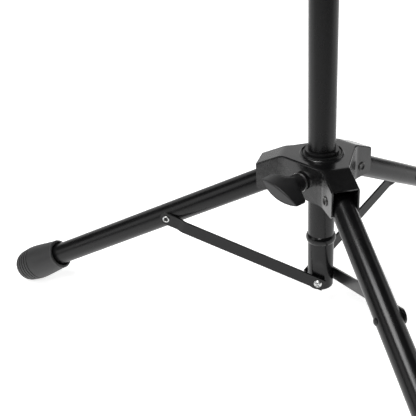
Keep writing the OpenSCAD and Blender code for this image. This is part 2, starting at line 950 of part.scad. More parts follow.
// Bracket behind the desk: a base plate and two ears on the tilt bolt
module desk_bracket()
  color("#1e1e20")
    at_desk()
      difference() {
        union() {
          rounded_sheet(base_w, -base_h / 2, base_h / 2, base_round, base_round,
                        -desk_offset, -desk_offset + base_t);
          for (s = [-1, 1])
            translate([s > 0 ? ear_in : -ear_in - ear_t, 0, 0])
              rotate([90, 0, 90])
                linear_extrude(ear_t)
                  union() {
                    circle(r = ear_r);
                    polygon([
                      [0, ear_r], [0, -ear_r], [base_t - desk_offset, -ear_foot],
                      [base_t - desk_offset, ear_foot]
                    ]);
                  }
        }
        rod_x(bolt_r + fit, -base_w, base_w);
        for (sx = [-1, 1])
          for (sz = [-1, 1])
            translate([sx * base_rivet_x, 0, sz * base_rivet_z])
              rod_y(small_rivet_r + fit, -2 * desk_offset, 0);
      }

module bracket_rivets()
  color("#2a2a2c")
    at_desk()
      for (sx = [-1, 1])
        for (sz = [-1, 1])
          translate([sx * base_rivet_x, 0, sz * base_rivet_z])
            small_rivet(-desk_offset - desk_sheet, -desk_offset + base_t);

// Bolt through the ears and the tongue, with its dome on the left
module tilt_bolt() {
  outer = ear_in + ear_t;
  color("#b8b8b4")
    at_desk() {
      rod_x(bolt_r, -outer - over, outer + washer_t + bolt_end);
      translate([-outer, 0, 0])
        rotate([0, -90, 0])
          dome(bolt_head_r, bolt_head_h);
    }
}

module friction_washers()
  color("#5a4a3a")
    at_desk()
      for (s = [-1, 1])
        translate([s > 0 ? ear_in - friction_t : -ear_in, 0, 0])
          rotate([0, 90, 0])
            ring(friction_r, bolt_r + fit, 0, friction_t);

// Frame on the foot of the tilt knob, +Z along the bolt
module at_tilt_knob()
  at_desk()
    translate([ear_in + ear_t + washer_t + running, 0, 0])
      rotate([0, 90, 0])
        children();

module tilt_knob()
  color("#1a1a1c")
    at_tilt_knob()
      wing_knob(nut_insert_r + fit, nut_insert_h + fit);

module tilt_nut()
  color("#b08d4a")
    at_tilt_knob()
      ring(nut_insert_r, bolt_r + running, 0, nut_insert_h);

module tilt_knob_washer()
  color("#c0c0bc")
    at_tilt_knob()
      knob_washer(bolt_r + running);

// ---------------------------------------------------------------- nodes

lower_tube();
brace_anchor();
brace_spacers();
brace_screws();
lock_collar();
collar_insert();
collar_pad();
hub_spider();
hub_bush();
hub_nut();
hub_pad();
leg_hinge_rivets();
hub_knob();
hub_knob_washer();
hub_knob_screw();
leg_tube(0);  // leg_a
leg_tube(1);  // leg_b
leg_tube(2);  // leg_c
foot(0);  // foot_a
foot(1);  // foot_b
foot(2);  // foot_c
brace_rivet(0);  // brace_rivet_a
brace_rivet(1);  // brace_rivet_b
brace_rivet(2);  // brace_rivet_c
brace(0);  // brace_a
brace(1);  // brace_b
brace(2);  // brace_c
brace_eyelet(0);  // brace_eyelet_a
brace_eyelet(1);  // brace_eyelet_b
brace_eyelet(2);  // brace_eyelet_c
guide_bush();
upper_tube();
tube_guide();
tilt_head();
height_knob();
height_knob_washer();
height_knob_screw();
desk_plate();
paper_shelf();
shelf_rivets();
desk_bracket();
bracket_rivets();
tilt_bolt();
friction_washers();
tilt_knob();
tilt_nut();
tilt_knob_washer();
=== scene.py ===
# %% [markdown]
# # A folding music stand
# The stand has a tube shaft, a pressed-steel hub that slides on it, three legs with rubber feet,
# three flat braces, and a tilting desk on an upper tube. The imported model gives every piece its
# place and size. This file gives the visible pieces their rolled edges, bends and finishes.

# %% Load the frame
import json
from math import atan2, cos, degrees, hypot, pi, radians, sin, sqrt, tan

import bmesh
import bpy
from mathutils import Matrix, Vector

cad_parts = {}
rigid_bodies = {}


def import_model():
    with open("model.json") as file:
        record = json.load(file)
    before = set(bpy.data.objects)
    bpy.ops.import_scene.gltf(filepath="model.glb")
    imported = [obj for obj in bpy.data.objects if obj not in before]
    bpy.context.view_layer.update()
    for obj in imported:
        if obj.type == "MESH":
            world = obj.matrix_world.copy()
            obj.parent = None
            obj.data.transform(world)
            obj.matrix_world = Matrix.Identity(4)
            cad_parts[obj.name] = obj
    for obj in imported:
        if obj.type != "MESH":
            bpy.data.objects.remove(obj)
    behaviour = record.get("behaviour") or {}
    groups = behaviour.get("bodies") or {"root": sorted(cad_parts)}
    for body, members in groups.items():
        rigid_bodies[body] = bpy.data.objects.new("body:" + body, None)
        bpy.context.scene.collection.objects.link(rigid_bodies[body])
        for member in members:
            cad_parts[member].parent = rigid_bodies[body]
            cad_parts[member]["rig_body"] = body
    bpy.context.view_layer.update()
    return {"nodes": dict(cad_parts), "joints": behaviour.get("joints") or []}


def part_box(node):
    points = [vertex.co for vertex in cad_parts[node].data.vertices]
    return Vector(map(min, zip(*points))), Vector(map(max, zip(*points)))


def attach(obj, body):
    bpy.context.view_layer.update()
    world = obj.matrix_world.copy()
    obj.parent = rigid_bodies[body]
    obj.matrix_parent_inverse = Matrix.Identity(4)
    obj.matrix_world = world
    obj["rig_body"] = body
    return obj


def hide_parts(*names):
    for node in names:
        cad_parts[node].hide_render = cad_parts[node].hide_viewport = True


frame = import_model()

# %% [markdown]
# ## Measuring the frame
# A restorer measures the parts on the bench before making a new one. Here the bench is the packed
# model: the joints say where the pins are, and a node's vertices, turned into the frame of its leg
# or brace, say how long and thick it is. Only sheet thicknesses, small radii and grooves are typed.

# %% Joints and directions
NODES = frame["nodes"]
JOINTS = {joint["name"]: joint for joint in frame["joints"]}
LEGS = "abc"
MM = 0.001
HINGE = {k: Vector(JOINTS[f"leg_{k}_fold"]["pos_m"]) for k in LEGS}
HEADING = {k: atan2(HINGE[k].y, HINGE[k].x) for k in LEGS}
HINGE_R = hypot(HINGE["b"].x, HINGE["b"].y)
HINGE_Z = HINGE["b"].z
SCREW_Z = JOINTS["brace_b_swing"]["pos_m"][2]


def middle(node):
    """Centre of a node's box."""
    low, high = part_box(node)
    return (low + high) / 2


rivet_b = middle("brace_eyelet_b")
RIVET_R = hypot(rivet_b.x, rivet_b.y)
side_step = RIVET_R * sin(atan2(rivet_b.y, rivet_b.x) - HEADING["b"])
RIVET_R = sqrt(RIVET_R**2 - side_step**2)
LEG_SLOPE = atan2(HINGE_Z - rivet_b.z, RIVET_R - HINGE_R)
BRACE_SLOPE = atan2(rivet_b.z - SCREW_Z, RIVET_R)
BRACE_LENGTH = hypot(rivet_b.z - SCREW_Z, RIVET_R)
print("legs slope", round(degrees(LEG_SLOPE), 2), "braces", round(degrees(BRACE_SLOPE), 2))


# %% Places: where a piece made at the origin goes
def turn(axis, angle):
    return Matrix.Rotation(angle, 4, axis)


def move(x, y, z):
    return Matrix.Translation((x, y, z))


def at_leg(k):
    """Origin on the hinge, +X down the leg."""
    return turn("Z", HEADING[k]) @ move(HINGE_R, 0, HINGE_Z) @ turn("Y", LEG_SLOPE)


def at_brace(k):
    """Origin on the screw, +X towards the leg."""
    return turn("Z", HEADING[k]) @ move(0, 0, SCREW_Z) @ turn("Y", -BRACE_SLOPE)


def seen_from(node, place):
    """Vertices of a node in the frame of place."""
    back = place.inverted()
    return [back @ vertex.co for vertex in NODES[node].data.vertices]


def local_box(node, place):
    """Lowest and highest corner of a node, measured in the frame of place."""
    points = seen_from(node, place)
    low = Vector([min(p[i] for p in points) for i in range(3)])
    high = Vector([max(p[i] for p in points) for i in range(3)])
    return low, high


# %% [markdown]
# ## Camera
# The camera stands a little above the hub and looks down at the shaft. Its axis almost meets the
# shaft, so the shaft stays upright in the view. Turning the camera to set the shaft off centre
# would make it lean, so the lens is shifted sideways, as on a technical camera.

# %% Camera
APEX_Z = HINGE_Z + HINGE_R * tan(LEG_SLOPE)     # height where the lines of the legs meet
CAMERA_BACK = 0.58605
CAMERA_RISE = 0.26618
CAMERA_ROUND = radians(20.62)
CAMERA_YAW = radians(-1.32)
CAMERA_DOWN = radians(28.62)
CAMERA_ROLL = radians(0.06)
CAMERA_SHIFT = -0.238
SENSOR = 36
FOCAL_SHARE = 1.6926        # focal length as a share of the sensor's width

camera_data = bpy.data.cameras.new("camera")
camera_data.sensor_width = SENSOR
camera_data.lens = SENSOR * FOCAL_SHARE
camera_data.shift_x = CAMERA_SHIFT
camera_data.clip_start = 0.02
camera = bpy.data.objects.new("camera", camera_data)
bpy.context.scene.collection.objects.link(camera)
camera.matrix_world = (
    turn("Z", -CAMERA_ROUND)
    @ move(0, -CAMERA_BACK, APEX_Z + CAMERA_RISE)
    @ turn("Z", -CAMERA_YAW)
    @ turn("X", pi / 2 - CAMERA_DOWN)
    @ turn("Z", CAMERA_ROLL)
)
bpy.context.scene.camera = camera
bpy.context.scene.view_settings.view_transform = "Standard"
print("camera at", camera.location)

# %% [markdown]
# ## Light
# Black enamel shows little colour of its own: what the eye reads is the room mirrored in it. The
# stand is lit from behind. A wide panel at the back is mirrored by the flat tops, a box overhead
# draws the long highlight of a leg, a small box in front is for the hub's pressed edges, and weak
# boxes left and right fill the sides. The rest of the room on the camera's side is dark.


# %% A softbox
def softbox(name, place, aim, size, power):
    """A rectangular area light at place that points at aim."""
    data = bpy.data.lights.new(name, "AREA")
    data.shape = "RECTANGLE"
    data.size, data.size_y = size
    data.energy = power
    light = bpy.data.objects.new(name, data)
    bpy.context.scene.collection.objects.link(light)
    light.location = place
    light.rotation_euler = (Vector(aim) - Vector(place)).to_track_quat("-Z", "Y").to_euler()
    print("light:", name, power, "W")


# %% Five boxes and a dim room
hub_point = (0, 0, HINGE_Z)
softbox("back panel", place=(0.3, 2.6, 1.25), aim=(0, 0, 0.35), size=(5.0, 2.1), power=28)
softbox("overhead box", place=(-0.85, -0.25, 2.5), aim=(0, 0, 0.2), size=(0.7, 1.4), power=48)
softbox("front box", place=(-0.89, -1.27, 1.75), aim=hub_point, size=(0.5, 0.3), power=8)
softbox("left box", place=(-2.2, -0.2, 1.0), aim=hub_point, size=(1.2, 1.4), power=7)
softbox("right box", place=(2.2, 0.1, 0.9), aim=hub_point, size=(1.2, 1.4), power=6)

ROOM_LIGHT = 0.05
world = bpy.data.worlds.new("studio")
bpy.context.scene.world = world
world.use_nodes = True
room = world.node_tree.nodes["Background"]
room.inputs["Color"].default_value = (1, 1, 1, 1)
room.inputs["Strength"].default_value = ROOM_LIGHT

# %% [markdown]
# ## Finishes that several materials share
# Powder coat, enamel, moulded plastic and rubber differ in colour and gloss, but each has a fine
# grain, worn edges and a little dust. Each effect is one node group, and each material sets it up
# with its own values. The groups give out masks and heights only; the shader stays outside.


# %% A node group and its sockets
def new_group(name, inputs, outputs):
    """A shader node group with float inputs (with defaults) and float outputs."""
    group = bpy.data.node_groups.new(name, "ShaderNodeTree")
    for label, value in inputs.items():
        socket = group.interface.new_socket(label, in_out="INPUT", socket_type="NodeSocketFloat")
        socket.default_value = value
    for label in outputs:
        group.interface.new_socket(label, in_out="OUTPUT", socket_type="NodeSocketFloat")
    start = group.nodes.new("NodeGroupInput")
    end = group.nodes.new("NodeGroupOutput")
    return group, start, end


def noise(tree, place, scale, detail, roughness=0.5):
    """A noise texture on object coordinates, with its scale from a socket or a number."""
    node = tree.nodes.new("ShaderNodeTexNoise")
    node.inputs["Detail"].default_value = detail
    node.inputs["Roughness"].default_value = roughness
    tree.links.new(place, node.inputs["Vector"])
    if isinstance(scale, (int, float)):
        node.inputs["Scale"].default_value = scale
    else:
        tree.links.new(scale, node.inputs["Scale"])
    return node.outputs["Fac"]


def math(tree, operation, a, b=0.5):
    """A Math node on two sockets or numbers."""
    node = tree.nodes.new("ShaderNodeMath")
    node.operation = operation
    for socket, value in zip(node.inputs, (a, b)):
        if isinstance(value, (int, float)):
            socket.default_value = value
        else:
            tree.links.new(value, socket)
    return node.outputs[0]


def ramp(tree, value, low, high, out_low=0.0, out_high=1.0):
    """A smooth change from out_low to out_high while value goes from low to high."""
    node = tree.nodes.new("ShaderNodeMapRange")
    node.interpolation_type = "SMOOTHSTEP"
    tree.links.new(value, node.inputs["Value"])
    labels = ("From Min", "From Max", "To Min", "To Max")
    for label, number in zip(labels, (low, high, out_low, out_high)):
        if isinstance(number, (int, float)):
            node.inputs[label].default_value = number
        else:
            tree.links.new(number, node.inputs[label])
    return node.outputs["Result"]


# %% Grain: the pebbled skin of a coating or a moulding
COARSE_SCALE = 0.31                  # the coarse pebbles are about three times as wide
FINE_SHARE, COARSE_SHARE = 0.6, 0.4
grain, start, end = new_group("surface grain", {"Scale": 900, "Patch Scale": 40},
                              ("Height", "Patches"))
place = grain.nodes.new("ShaderNodeTexCoord").outputs["Object"]
fine = noise(grain, place, start.outputs["Scale"], 3, 0.6)
coarse = noise(grain, place, math(grain, "MULTIPLY", start.outputs["Scale"], COARSE_SCALE), 2)
height = math(grain, "ADD", math(grain, "MULTIPLY", fine, FINE_SHARE),
              math(grain, "MULTIPLY", coarse, COARSE_SHARE))
grain.links.new(height, end.inputs["Height"])
patches = noise(grain, place, start.outputs["Patch Scale"], 5, 0.62)
grain.links.new(ramp(grain, patches, 0.35, 0.68), end.inputs["Patches"])
print("grain group has", len(grain.nodes), "nodes")

# %% Edge wear: bare or rubbed edges, broken up by noise
wear, start, end = new_group("edge wear", {"Amount": 0.5, "Scale": 220}, ("Mask",))
place = wear.nodes.new("ShaderNodeTexCoord").outputs["Object"]
pointed = wear.nodes.new("ShaderNodeNewGeometry").outputs["Pointiness"]
edges = ramp(wear, pointed, 0.505, 0.58)
broken = ramp(wear, noise(wear, place, start.outputs["Scale"], 4, 0.7), 0.38, 0.62)
worn = math(wear, "MULTIPLY", math(wear, "MULTIPLY", edges, broken), start.outputs["Amount"])
wear.links.new(worn, end.inputs["Mask"])
print("wear group has", len(wear.nodes), "nodes")

# %% Dust: a thin veil on surfaces that face up, broken up by noise
dust, start, end = new_group("settled dust", {"Amount": 0.2, "Scale": 60}, ("Mask",))
place = dust.nodes.new("ShaderNodeTexCoord").outputs["Object"]
upward = dust.nodes.new("ShaderNodeSeparateXYZ")
dust.links.new(dust.nodes.new("ShaderNodeNewGeometry").outputs["Normal"], upward.inputs[0])
veil = ramp(dust, upward.outputs["Z"], 0.25, 1.0)
specks = ramp(dust, noise(dust, place, start.outputs["Scale"], 6, 0.75), 0.4, 0.75)
settled = math(dust, "MULTIPLY", math(dust, "MULTIPLY", veil, specks), start.outputs["Amount"])
dust.links.new(settled, end.inputs["Mask"])
print("dust group has", len(dust.nodes), "nodes")

# %% [markdown]
# ## Materials
# One function wires the three groups to a Principled shader. The colour runs from the plain coat
# through its rubbed patches and worn edges to dust, and the roughness follows patches and dust. The
# black coats are very dark, about half to one percent, because the mirrored room adds the rest.


# %% One coated material
DUST_COLOUR = (0.22, 0.21, 0.2)
DUST_ROUGHNESS = 0.5


def blend_colour(tree, mask, under, over):
    """Colour under, with colour over where the mask is 1."""
    node = tree.nodes.new("ShaderNodeMix")
    node.data_type = "RGBA"
    tree.links.new(mask, node.inputs["Factor"])
    for socket, colour in ((node.inputs[6], under), (node.inputs[7], over)):
        if isinstance(colour, tuple):
            socket.default_value = (*colour, 1)
        else:
            tree.links.new(colour, socket)
    return node.outputs[2]


def use_group(tree, group, **values):
    node = tree.nodes.new("ShaderNodeGroup")
    node.node_tree = group
    for label, value in values.items():
        node.inputs[label.replace("_", " ")].default_value = value
    return node.outputs


def finish(name, colour, patch_colour, edge_colour, gloss, grain_size, relief, worn=0.4, dusty=0.1,
           metal=0.0, specular=0.5, patch_size=0.03):
    """A coated, moulded or plated surface. gloss is (roughness, roughness of patches), grain_size
    and relief are the width and height of the grain, worn and dusty are amounts from 0 to 1."""
    material = bpy.data.materials.new(name)
    material.use_nodes = True
    tree = material.node_tree
    shader = tree.nodes["Principled BSDF"]
    skin = use_group(tree, grain, Scale=1 / grain_size, Patch_Scale=1 / patch_size)
    rubbed = use_group(tree, wear, Amount=worn)["Mask"]
    veil = use_group(tree, dust, Amount=dusty)["Mask"]
    colours = blend_colour(tree, skin["Patches"], colour, patch_colour)
    colours = blend_colour(tree, rubbed, colours, edge_colour)
    colours = blend_colour(tree, veil, colours, DUST_COLOUR)
    tree.links.new(colours, shader.inputs["Base Color"])
    rough = ramp(tree, skin["Patches"], 0, 1, *gloss)
    rough = math(tree, "ADD", rough, math(tree, "MULTIPLY", veil, DUST_ROUGHNESS))
    tree.links.new(rough, shader.inputs["Roughness"])
    shader.inputs["Metallic"].default_value = metal
    shader.inputs["Specular IOR Level"].default_value = specular
    bump = tree.nodes.new("ShaderNodeBump")
    bump.inputs["Strength"].default_value = 1.0
    bump.inputs["Distance"].default_value = relief
    tree.links.new(skin["Height"], bump.inputs["Height"])
    tree.links.new(bump.outputs["Normal"], shader.inputs["Normal"])
    return material


# %% The finishes on this stand
tube_coat = finish(
    "tube_coat", colour=(0.004, 0.004, 0.0043), patch_colour=(0.0052, 0.0052, 0.0055),
    edge_colour=(0.025, 0.025, 0.025), gloss=(0.24, 0.29), grain_size=0.9 * MM, relief=0.006 * MM,
    worn=0.2, dusty=0.015, specular=0.3, patch_size=0.06)
hub_enamel = finish(
    "hub_coat", colour=(0.005, 0.005, 0.0053), patch_colour=(0.0065, 0.0065, 0.0068),
    edge_colour=(0.05, 0.05, 0.05), gloss=(0.19, 0.23), grain_size=1.4 * MM, relief=0.004 * MM,
    worn=0.35, dusty=0.012, specular=0.5, patch_size=0.05)
strip_enamel = finish(
    "brace_coat", colour=(0.0045, 0.0045, 0.0048), patch_colour=(0.006, 0.006, 0.0063),
    edge_colour=(0.05, 0.05, 0.05), gloss=(0.28, 0.34), grain_size=1.1 * MM, relief=0.006 * MM,
    worn=0.35, dusty=0.012, specular=0.3, patch_size=0.05)
desk_enamel = finish(
    "desk_coat", colour=(0.011, 0.011, 0.0115), patch_colour=(0.0125, 0.0125, 0.013),
    edge_colour=(0.05, 0.05, 0.05), gloss=(0.42, 0.48), grain_size=1.0 * MM, relief=0.02 * MM,
    worn=0.3, dusty=0.03, specular=0.4, patch_size=0.08)
knob_plastic = finish(
    "knob_plastic", colour=(0.0105, 0.0105, 0.011), patch_colour=(0.012, 0.012, 0.0125),
    edge_colour=(0.04, 0.04, 0.04), gloss=(0.32, 0.37), grain_size=0.5 * MM, relief=0.012 * MM,
    worn=0.4, dusty=0.02, specular=0.5, patch_size=0.03)
nylon = finish(
    "bush_plastic", colour=(0.006, 0.006, 0.0065), patch_colour=(0.0075, 0.0075, 0.008),
    edge_colour=(0.03, 0.03, 0.03), gloss=(0.34, 0.4), grain_size=0.7 * MM, relief=0.01 * MM,
    worn=0.3, dusty=0.01, specular=0.4)
collar_plastic = finish(
    "collar_plastic", colour=(0.009, 0.009, 0.0095), patch_colour=(0.0105, 0.0105, 0.011),
    edge_colour=(0.04, 0.04, 0.04), gloss=(0.4, 0.46), grain_size=0.6 * MM, relief=0.02 * MM,
    worn=0.3, dusty=0.02, specular=0.4)
foot_rubber = finish(
    "foot_rubber", colour=(0.024, 0.024, 0.0245), patch_colour=(0.029, 0.029, 0.0295),
    edge_colour=(0.04, 0.04, 0.04), gloss=(0.5, 0.58), grain_size=0.6 * MM, relief=0.03 * MM,
    worn=0.3, dusty=0.03, specular=0.45, patch_size=0.02)
zinc = finish(
    "zinc_steel", colour=(0.7, 0.7, 0.68), patch_colour=(0.6, 0.61, 0.62),
    edge_colour=(0.85, 0.85, 0.83), gloss=(0.32, 0.4), grain_size=0.4 * MM, relief=0.006 * MM,
    dusty=0.02, metal=1.0, patch_size=0.004)
black_oxide = finish(
    "dark_rivet", colour=(0.02, 0.02, 0.021), patch_colour=(0.03, 0.029, 0.028),
    edge_colour=(0.2, 0.2, 0.19), gloss=(0.28, 0.38), grain_size=0.5 * MM, relief=0.01 * MM,
    worn=0.6, dusty=0.02, metal=0.4, patch_size=0.006)
brass = finish(
    "brass", colour=(0.62, 0.45, 0.18), patch_colour=(0.5, 0.35, 0.14),
    edge_colour=(0.75, 0.6, 0.3), gloss=(0.26, 0.38), grain_size=0.4 * MM, relief=0.006 * MM,
    metal=1.0, patch_size=0.005)
pad_nylon = finish(
    "pad_plastic", colour=(0.6, 0.57, 0.5), patch_colour=(0.52, 0.49, 0.42),
    edge_colour=(0.66, 0.63, 0.56), gloss=(0.45, 0.55), grain_size=0.6 * MM, relief=0.02 * MM,
    patch_size=0.006)
fibre = finish(
    "friction_fibre", colour=(0.1, 0.07, 0.05), patch_colour=(0.14, 0.1, 0.07),
    edge_colour=(0.18, 0.14, 0.1), gloss=(0.75, 0.85), grain_size=0.35 * MM, relief=0.05 * MM,
    patch_size=0.004)
print("materials:", len(bpy.data.materials))

# %% [markdown]
# ## The floor
# The stand is on pale paper whose emission is painted light: it glows near white under and behind
# the stand and falls to dark towards the camera. The tubes mirror it, so where it turns dark
# decides how their lower sides look. A ramp in the paper's emission does this and needs no more
# lamps. The floor is turned with the camera, so its own Y runs away from the view.

# %% The floor: painted light, near white under and behind the stand, dark towards the camera
FLOOR_HALF = 9.0
GLOW_FROM, GLOW_TO = -0.4, -0.17     # along the floor's Y
# painted light: the floor's emission strength, dim towards the camera and bright under and behind
# the stand
DIM_PAINTED_GLOW, BRIGHT_PAINTED_GLOW = 0.1, 0.78
floor_mesh = bpy.data.meshes.new("floor")
bm = bmesh.new()
bmesh.ops.create_grid(bm, x_segments=2, y_segments=2, size=FLOOR_HALF)
bm.to_mesh(floor_mesh)
bm.free()
floor = bpy.data.objects.new("floor", floor_mesh)
bpy.context.scene.collection.objects.link(floor)
floor.rotation_euler.z = -CAMERA_ROUND
paper = finish("pale_floor_with_painted_light", colour=(0.8, 0.8, 0.8), patch_colour=(0.82, 0.82, 0.82),
               edge_colour=(0.8, 0.8, 0.8), gloss=(0.7, 0.8), grain_size=4 * MM, relief=0.01 * MM,
               worn=0.0, dusty=0.0, specular=0.2, patch_size=0.8)
tree = paper.node_tree
along = tree.nodes.new("ShaderNodeSeparateXYZ")
tree.links.new(tree.nodes.new("ShaderNodeTexCoord").outputs["Object"], along.inputs[0])
# painted light: emission that ramps along the floor's Y, standing in for light on the paper
painted_floor_light = ramp(tree, along.outputs["Y"], GLOW_FROM, GLOW_TO, DIM_PAINTED_GLOW, BRIGHT_PAINTED_GLOW)
tree.links.new(painted_floor_light, tree.nodes["Principled BSDF"].inputs["Emission Strength"])
tree.nodes["Principled BSDF"].inputs["Emission Color"].default_value = (1, 1, 1, 1)
floor_mesh.materials.append(paper)
print("floor", 2 * FLOOR_HALF, "m wide")

# %% [markdown]
# ## From shape to piece
# Each shape below is made at the origin, in the frame of its own part. This step carries it to its
# place, gives it a finish and smooth shading, and hands it to the body that it rides on.

# %% Finishing a shape
SAME_POINT = 0.002 * MM              # vertices closer than this are merged


def place_piece(name, bm, place, nodes, material, sharp=30, edge=0.0, wall=0.0):
    """An object from bm that stands for CAD nodes. wall is its sheet, edge its rounded edges."""
    bmesh.ops.remove_doubles(bm, verts=bm.verts, dist=SAME_POINT)
    bm.transform(place)
    if not wall:
        bmesh.ops.recalc_face_normals(bm, faces=bm.faces)
    mesh = bpy.data.meshes.new(name)
    bm.to_mesh(mesh)
    bm.free()
    mesh.polygons.foreach_set("use_smooth", [True] * len(mesh.polygons))
    if not edge:
        mesh.set_sharp_from_angle(angle=radians(sharp))
    mesh.materials.append(material)
    obj = bpy.data.objects.new(name, mesh)
    bpy.context.scene.collection.objects.link(obj)
    if wall:
        sheet = obj.modifiers.new("sheet", "SOLIDIFY")
        sheet.thickness = wall
        sheet.offset = -1
        sheet.use_even_offset = True
    if edge:
        soften_edges(obj, edge)
    obj.modifiers.new("shading", "WEIGHTED_NORMAL").keep_sharp = True
    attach(obj, NODES[nodes[0]]["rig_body"])
    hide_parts(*nodes)
    return obj


def soften_edges(obj, width, segments=3):
    """Rounds the sharp edges of an object by a small radius."""
    bevel = obj.modifiers.new("edges", "BEVEL")
    bevel.width = width
    bevel.segments = segments
    bevel.limit_method = "ANGLE"
    bevel.angle_limit = radians(40)
    bevel.harden_normals = True


def smoothstep(t):
    t = min(max(t, 0.0), 1.0)
    return t * t * (3 - 2 * t)


def softened(outline, steps=5):
    """A closed outline of (x, y, radius) points with its corners rounded."""
    points = []
    for i, (x, y, radius) in enumerate(outline):
        here = Vector((x, y))
        if not radius:
            points.append(here)
            continue
        back = Vector(outline[i - 1][:2]) - here
        on = Vector(outline[(i + 1) % len(outline)][:2]) - here
        half = back.angle(on) / 2
        nearly_half = 0.49
        reach = min(radius / tan(half), nearly_half * back.length, nearly_half * on.length)
        back.normalize()
        on.normalize()
        centre = here + (back + on).normalized() * reach / cos(half)
        first = here + back * reach - centre
        last = here + on * reach - centre
        sweep = first.angle(last)
        for step in range(steps + 1):
            share = step / steps
            arm = (first * sin((1 - share) * sweep) + last * sin(share * sweep)) / sin(sweep)
            points.append(centre + arm)
    return points


def spun(outline, steps=96):
    """A closed outline of (radius, height) points, spun about Z."""
    bm = bmesh.new()
    verts = [bm.verts.new((point[0], 0, point[1])) for point in outline]
    edges = [bm.edges.new(pair) for pair in zip(verts, verts[1:] + verts[:1])]
    bmesh.ops.spin(bm, geom=verts + edges, cent=(0, 0, 0), axis=(0, 0, 1), angle=2 * pi,
                   steps=steps, use_merge=True)
    no_area = 1e-14
    flat = [face for face in bm.faces if face.calc_area() < no_area]
    bmesh.ops.delete(bm, geom=flat, context="FACES_ONLY")
    return bm


# %% [markdown]
# ## The lower tube
# The tube is spun from its wall outline: a lower edge rolled inwards, a crisp bead that stops the
# hub, and a plain top. A press then squeezes three flats into the lower end for the braces. The
# flats fade out upwards, so the same limit on the distance from the axis grows with height.

# %% Lower tube
tube_low, tube_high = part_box("lower_tube")
tube_points = seen_from("lower_tube", turn("Z", HEADING["b"]))
tube_top = [hypot(p.x, p.y) for p in tube_points if p.z > tube_high.z - MM]
tube_outer, tube_inner = max(tube_top), min(tube_top)
bead_heights = [p.z for p in tube_points if hypot(p.x, p.y) > tube_outer + MM]
bead_z = (max(bead_heights) + min(bead_heights)) / 2
bead_out = max(hypot(p.x, p.y) for p in tube_points) - tube_outer
flat_y = max(p.y for p in tube_points if p.z < tube_low.z + 6 * MM)
roll = 2 * MM                        # radius of the rolled lower edge
inside_edge, outside_edge = 0.4 * MM, 0.5 * MM
bead_half, bead_foot = 4.6 * MM, 1.2 * MM
flat_full, flat_fade = SCREW_Z + 14.8 * MM, SCREW_Z + 26.8 * MM
rows_top = flat_fade + 3 * MM        # below this the wall has rows of vertices for the press
print("tube radius", round(tube_outer / MM, 2), "flats at", round(flat_y / MM, 2))

# %% Wall outline of the tube
outline = [(tube_inner, tube_high.z - inside_edge), (tube_inner + inside_edge, tube_high.z),
           (tube_outer - outside_edge, tube_high.z), (tube_outer, tube_high.z - outside_edge)]
outline.append((tube_outer, bead_z + bead_half + bead_foot))
arc = (bead_half**2 + bead_out**2) / (2 * bead_out)
for step in range(17):
    share = 1 - step / 8
    out = bead_out - arc + sqrt(arc**2 - (share * bead_half) ** 2)
    outline.append((tube_outer + max(out, 0.0), bead_z + share * bead_half))
outline.append((tube_outer, bead_z - bead_half - bead_foot))
rows = 30
for row in range(rows + 1):
    outline.append((tube_outer, rows_top + (tube_low.z + roll - rows_top) * row / rows))
for step in range(1, 8):
    angle = radians(75) * step / 7
    outline.append((tube_outer - roll * (1 - cos(angle)), tube_low.z + roll * (1 - sin(angle))))
for row in range(rows + 1):
    outline.append((tube_inner, tube_low.z + inside_edge + (rows_top - tube_low.z) * row / rows))
print("tube outline has", len(outline), "points")

# %% Pressing the flats
bm = spun(outline, 144)
tube_wall = tube_outer - tube_inner
inner_limit = tube_inner + 0.3 * MM
for vertex in bm.verts:
    if vertex.co.z > flat_fade:
        continue
    inner = vertex.co.xy.length < inner_limit and vertex.co.z > tube_low.z + roll / 4
    fade = smoothstep((vertex.co.z - flat_full) / (flat_fade - flat_full))
    for k in LEGS:
        side = turn("Z", HEADING[k]) @ Vector((0, 1, 0))
        limit = flat_y + (tube_outer - flat_y) * fade - (tube_wall if inner else 0.0)
        beyond = vertex.co.dot(side) - limit
        if beyond > 0:
            vertex.co -= side * beyond
place_piece("formed_lower_tube", bm, Matrix(), ["lower_tube"], tube_coat, sharp=40)
print("pressed", len(LEGS), "flats")

# %% [markdown]
# ## The hub pressing
# The hub is one sheet. Its plan is a three-armed star with round inner corners. Bisecting the plan
# across each arm gives the bend lines, and the roofs drop beyond them. Rings inside the outline
# make the press radius between walls and roof, and the sheet gets its thickness last.

# %% Hub sizes, measured in the frame of arm B
NEAR = 0.02 * MM                     # measures closer than this count as the same
hub_low, hub_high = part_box("hub_spider")
hub_points = seen_from("hub_spider", turn("Z", HEADING["b"]))
arm_end = max(p.x for p in hub_points)
arm_half = max(abs(p.y) for p in hub_points if p.x > 0.97 * arm_end)
side_points = [p for p in hub_points if abs(abs(p.y) - arm_half) < NEAR and p.x > 20 * MM]
core_x = min(p.x for p in side_points)
plate_z = max(p.z for p in side_points)
bend_x = max(p.x for p in side_points if p.z > plate_z - NEAR)
roof_end_z = max(p.z for p in side_points if p.x > arm_end - NEAR)
roof_slope = (plate_z - roof_end_z) / (arm_end - bend_x)
neck_outer = max(hypot(p.x, p.y) for p in hub_points if p.z > hub_high.z - NEAR)
print("hub arms", round(arm_end / MM, 1), "half width", round(arm_half / MM, 2),
      "bend", round(bend_x / MM, 2))


# %% Hub plan: a star with round inner corners, and the way inwards at each point
def on_arm(k, point):
    """A point in the frame of arm k, with +X along the arm."""
    return turn("Z", -HEADING[k]) @ point


def along_arms(point):
    """Distance of a point along the arm that it is on."""
    return max(on_arm(k, point).x for k in LEGS)


